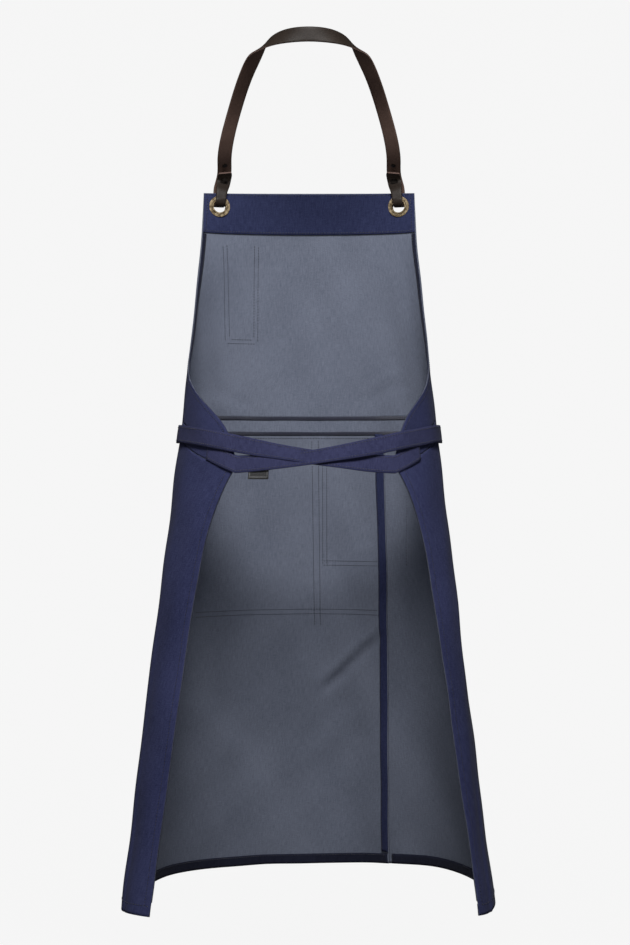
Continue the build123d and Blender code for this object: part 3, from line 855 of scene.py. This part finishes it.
for inset in (1.5, 6.5):
    sew(upright(-112.0 + inset + 3.0, -112.0 + inset, 117.0 + inset, 244.0), UNDER)
    sew(upright(-65.0 - inset, -64.0 - inset, 117.0 + inset, 244.0), UNDER)
    sew(level(-106.0 + inset, -66.0 - inset, 113.5 + inset), UNDER)
for z in (-229.0, -235.0):
    sew(level(-143.0, 37.0 + 60.0, z), UNDER)
for low, high in ((6.8, 3.4), (14.5, 11.8)):
    sew(upright(low, high, -250.0, -7.0), UNDER)
for x in (17.5, 22.8):
    sew(upright(x, x, -170.0, -24.0), UNDER)
for z in (-166.0, -171.5):
    sew(level(18.0, 102.0, z), UNDER)
for x in (123.5, 129.5):
    sew(upright(x, x, -170.0, -24.0), OUTER - 0.12)
sew(lambda part: (mix(-100.0, 100.0, part), -7.0 + waist_line(mix(-100.0, 100.0, part))), UNDER, OVER, 400)
sew(lambda part: (mix(-100.0, 100.0, part), 8.0 + waist_line(mix(-100.0, 100.0, part))), None, OVER, 400)
for height in (FACING_LOW + 0.008, 0.992):
    limit = armhole_turn("left", height) - 1.5
    sew(lambda part: (mix(-limit, limit, part), bib_z(0.0, height) + 0.0 * part), UNDER_HEM, OVER, 300)
for side in ("left", "right"):
    sew(lambda part: inside_edge(side, bib_edge, mix(0.02, 0.99, part), 4.6), UNDER_HEM, OVER, 300)
    sew(lambda part: inside_edge(side, flap_edge, mix(0.02, 0.98, part), 7.4), UNDER_HEM, OVER, 300)
sew(
    lambda part: (
        mix(-HEM_TURN["left"] + 1, 28.0, part),
        hem_height(mix(-HEM_TURN["left"] + 1, 28.0, part)) + 11.3,
    ),
    UNDER_HEM,
    OVER,
    400,
)
sew(
    lambda part: (
        mix(62.0, HEM_TURN["right"] - 1, part),
        hem_height(mix(62.0, HEM_TURN["right"] - 1, part)) + 11.3,
    ),
    UNDER_HEM,
    OVER,
    300,
)
sew(lambda part: inside_edge("right", slit_edge, mix(0.03, 0.99, part), 10.6), UNDER_HEM, OVER, 300)
seams = build(
    "topstitching", stitches["points"], stitches["faces"], [THREAD], stitches["index"], stitches["uv"]
)
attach(seams, "apron")

# ---------------------------------------------------------------- leather neck strap
LEATHER = 2.5
HOLE_TURN = float(turn_at(np.array(-GROMMET[0]), np.array(GROMMET[1])))
HOLE = on_body(np.array(HOLE_TURN), np.array(GROMMET[1]))
HOLE_OUT = outward(np.array(HOLE_TURN), np.array(GROMMET[1]))
HOLE_ACROSS = np.array([1.0, 0.0, 0.0]) - HOLE_OUT * HOLE_OUT[0]
HOLE_ACROSS = HOLE_ACROSS / np.linalg.norm(HOLE_ACROSS)
HOLE_UP = np.cross(HOLE_ACROSS, HOLE_OUT)
METAL_MIDDLE = -0.8
LOOP = [
    (4.2, 1.0, 0.0), (7.3, 2.5, 0.0), (8.7, 6.0, 0.4), (9.2, 12.0, 1.0),
    (9.0, 19.0, 2.0), (6.0, 28.0, 3.6), (2.2, 36.0, 5.3),
]
TAB_LOOP = [(7.3, 2.5, 0.0), (8.8, 6.0, 0.4), (9.0, 12.0, 1.0), (7.2, 21.0, 2.4)]
SHOULDER = [(-108.0, 71.0, 348.0), (-94.0, 20.0, 401.0), (-71.0, -44.0, 450.5), (-46.0, -84.0, 471.5)]
NAPE = (0.0, -100.0, 477.2)


def by_hole(out, up, aside=0.0):
    return HOLE + HOLE_OUT * (out + METAL_MIDDLE) + HOLE_UP * up + HOLE_ACROSS * aside


def smooth_line(points, first, last):
    """A cubic spline with given end directions, as positions and directions by distance."""
    points = np.asarray(points, float)
    knots = np.concatenate([[0.0], np.cumsum(np.linalg.norm(np.diff(points, axis=0), axis=1))])
    count = len(points)
    step = np.diff(knots)
    left = np.zeros((count, count))
    right = np.zeros((count, 3))
    left[0, 0] = left[-1, -1] = 1.0
    right[0], right[-1] = first, last
    for i in range(1, count - 1):
        left[i, i - 1] = step[i]
        left[i, i] = 2.0 * (step[i - 1] + step[i])
        left[i, i + 1] = step[i - 1]
        before = (points[i] - points[i - 1]) / step[i - 1]
        after = (points[i + 1] - points[i]) / step[i]
        right[i] = 3.0 * (step[i] * before + step[i - 1] * after)
    slopes = np.linalg.solve(left, right)
    fine = []
    for i in range(count - 1):
        t = np.linspace(0, 1, 41)[: None if i == count - 2 else -1, None]
        h = step[i]
        fine.append(
            (2 * t**3 - 3 * t**2 + 1) * points[i]
            + (t**3 - 2 * t**2 + t) * h * slopes[i]
            + (3 * t**2 - 2 * t**3) * points[i + 1]
            + (t**3 - t**2) * h * slopes[i + 1]
        )
    fine = np.concatenate(fine)
    walk = np.concatenate([[0.0], np.cumsum(np.linalg.norm(np.diff(fine, axis=0), axis=1))])

    def at(distance):
        distance = np.atleast_1d(np.asarray(distance, float))
        spot = np.stack([np.interp(distance, walk, fine[:, k]) for k in range(3)], axis=-1)
        ahead = np.stack([np.interp(distance + 0.4, walk, fine[:, k]) for k in range(3)], axis=-1)
        behind = np.stack([np.interp(distance - 0.4, walk, fine[:, k]) for k in range(3)], axis=-1)
        along = ahead - behind
        return spot, along / np.linalg.norm(along, axis=-1, keepdims=True)

    return at, walk[-1]


strap_at, strap_half = smooth_line(
    [by_hole(-4.5, 1.0), by_hole(0.0, 1.0), *[by_hole(*spot) for spot in LOOP], *SHOULDER, NAPE],
    HOLE_OUT,
    (1, 0, 0),
)


def strap_frame(travel):
    travel = np.asarray(travel, float).ravel()
    spot, along = strap_at(travel)
    from_nape = strap_half - travel
    facing = np.where(
        from_nape < 110.0,
        49.0 + 131.0 * (1.0 - ease(from_nape / 110.0)),
        49.0 - 36.5 * np.clip((from_nape - 110.0) / 210.0, 0.0, 1.0) ** 1.5,
    )
    lean = np.where(travel > 30.0, np.arctan2(along[:, 0], np.abs(along[:, 2])), 0.0)
    turn = np.radians(facing)
    edge = np.stack([np.cos(turn) * np.cos(lean), np.sin(turn), -np.cos(turn) * np.sin(lean)], axis=-1)
    blend = ease((travel - 24.0) / 24.0)[:, None]
    edge = HOLE_ACROSS * (1.0 - blend) + edge * blend
    edge = edge - along * (edge * along).sum(axis=-1, keepdims=True)
    edge = edge / np.linalg.norm(edge, axis=-1, keepdims=True)
    return spot, edge, np.cross(along, edge)


def strap_width(travel):
    return 13.0 + 5.0 * ease((travel - 14.0) / 24.0)


def strap_place(across, up, through):
    """From the left hole over the nape to the right one; thickest in the middle of its width."""
    half = np.minimum(up, 1.0 - up) * 2.0
    travel = strap_half * half**2
    spot, edge, grain = strap_frame(travel)
    shape = across.shape
    spot, edge, grain = (array.reshape(*shape, 3) for array in (spot, edge, grain))
    round_edge = 1.0 - 0.22 * ease((np.abs(across - 0.5) - 0.38) / 0.12)
    rise = (through - LEATHER / 2) * round_edge
    place = spot + edge * (strap_width(travel) * (across - 0.5))[..., None] + grain * rise[..., None]
    return np.where((up <= 0.5)[..., None], place, place * np.array([-1.0, 1.0, 1.0]))


upper_spot, upper_edge, upper_grain = strap_frame([48.0, 55.0, 63.0])
tab_at, tab_length = smooth_line(
    [
        by_hole(-4.7, 1.0),
        *[by_hole(-out, up, aside) for out, up, aside in TAB_LOOP],
        *(upper_spot - upper_grain * 5.2),
    ],
    -HOLE_OUT,
    strap_at(63.0)[1][0],
)


def tab_place(sign):
    def place(across, up, through):
        spot, along = tab_at(tab_length * up.ravel())
        edge = strap_frame(63.0 * up.ravel())[1]
        edge = edge - along * (edge * along).sum(axis=-1, keepdims=True)
        edge = edge / np.linalg.norm(edge, axis=-1, keepdims=True)
        grain = np.cross(edge, along)
        shape = across.shape
        spot, edge, grain = (array.reshape(*shape, 3) for array in (spot, edge, grain))
        width = strap_width(2.0 + 50.0 * up)
        corner = 1.0 - 0.1 * ease((up - 0.94) / 0.06)
        rise = (through - LEATHER / 2) * (1.0 - 0.22 * ease((np.abs(across - 0.5) - 0.38) / 0.12))
        made = spot + edge * (width * corner * (across - 0.5))[..., None] + grain * rise[..., None]
        return made * np.array([-sign, 1.0, 1.0])

    return place


strap = slab("leather_strap", strap_place, 16, 420, LEATHER, [FLESH, GRAIN, LEATHER_EDGE])
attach(strap, "strap")
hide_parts("neck_strap")
for side, sign in SIDE.items():
    tab = slab(f"{side}_leather_tab", tab_place(sign), 16, 90, LEATHER, [FLESH, GRAIN, LEATHER_EDGE])
    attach(tab, f"{side}_tab")
    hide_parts(f"{side}_strap_tab")

# ---------------------------------------------------------------- metal pieces carried over from the CAD
for name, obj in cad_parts.items():
    mat = BRASS if "grommet" in name else SNAP if "snap" in name or "stud" in name else None
    if mat is not None:
        obj.data.materials.clear()
        obj.data.materials.append(mat)

# ---------------------------------------------------------------- camera, light and backdrop
camera = bpy.data.objects.new("camera", bpy.data.cameras.new("camera"))
bpy.context.collection.objects.link(camera)
camera.location = (0.0076, -2.95, -0.051)
camera.rotation_euler = (math.radians(90.0), 0.0, 0.0)
camera.data.sensor_fit = "VERTICAL"
camera.data.sensor_height = 36.0
camera.data.lens = 90.13
bpy.context.scene.camera = camera
bpy.context.scene.view_settings.view_transform = "Standard"

world = bpy.data.worlds.new("studio")
world.use_nodes = True
world.node_tree.nodes["Background"].inputs["Color"].default_value = (1.0, 1.0, 1.0, 1.0)
world.node_tree.nodes["Background"].inputs["Strength"].default_value = 0.07
bpy.context.scene.world = world


def area_light(name, place, aim, size, power):
    lamp = bpy.data.lights.new(name, "AREA")
    lamp.shape = "SQUARE"
    lamp.size = size
    lamp.energy = power
    obj = bpy.data.objects.new(name, lamp)
    bpy.context.collection.objects.link(obj)
    obj.location = place
    look = np.array(aim) - np.array(place)
    flat = math.hypot(look[0], look[1])
    obj.rotation_euler = (math.atan2(flat, -look[2]), 0.0, math.atan2(look[1], look[0]) - math.pi / 2)


area_light("key", (0.03, -1.35, 1.3), (0, 0.1, 0.1), 0.7, 33.0)
area_light("fill", (0.05, -2.7, -0.45), (0, 0.1, -0.3), 0.6, 6.0)

low = CAD_BOX[0].z - 0.35
rows, columns = 24, 2
sweep = []
for j in range(rows + 1):
    part = j / rows
    if part < 0.34:
        y, z = mix(-4.5, 1.6, part / 0.34), low
    elif part < 0.67:
        bend = (part - 0.34) / 0.33 * math.pi / 2
        y, z = 1.6 + 1.2 * math.sin(bend), low + 1.2 * (1.0 - math.cos(bend))
    else:
        y, z = 2.8, low + 1.2 + 3.6 * (part - 0.67) / 0.33
    for i in range(columns + 1):
        sweep.append((1000.0 * (-6.0 + 6.0 * i), 1000.0 * y, 1000.0 * z))
wide = columns + 1
sheets = [
    (j * wide + i, j * wide + i + 1, (j + 1) * wide + i + 1, (j + 1) * wide + i)
    for j in range(rows)
    for i in range(columns)
]


def paper():
    """Plain pale paper under its own even lamps."""
    mat, tree, shader = new_material("paper")
    noise = node(tree, "ShaderNodeTexNoise", {"Scale": 3.0, "Detail": 3.0})
    shade = ramp(tree, noise.outputs["Fac"], [(0.3, (0.075, 0.075, 0.075)), (0.7, (0.085, 0.085, 0.085))])
    tree.links.new(shade, shader.inputs["Base Color"])
    shader.inputs["Roughness"].default_value = 0.95
    shader.inputs["Specular IOR Level"].default_value = 0.0
    shader.inputs["Emission Color"].default_value = (1.0, 1.0, 1.0, 1.0)
    shader.inputs["Emission Strength"].default_value = 0.9
    return mat


backdrop = build("backdrop", sweep, sheets, [paper()], [0] * len(sheets))
backdrop.visible_diffuse = False
backdrop.visible_glossy = False
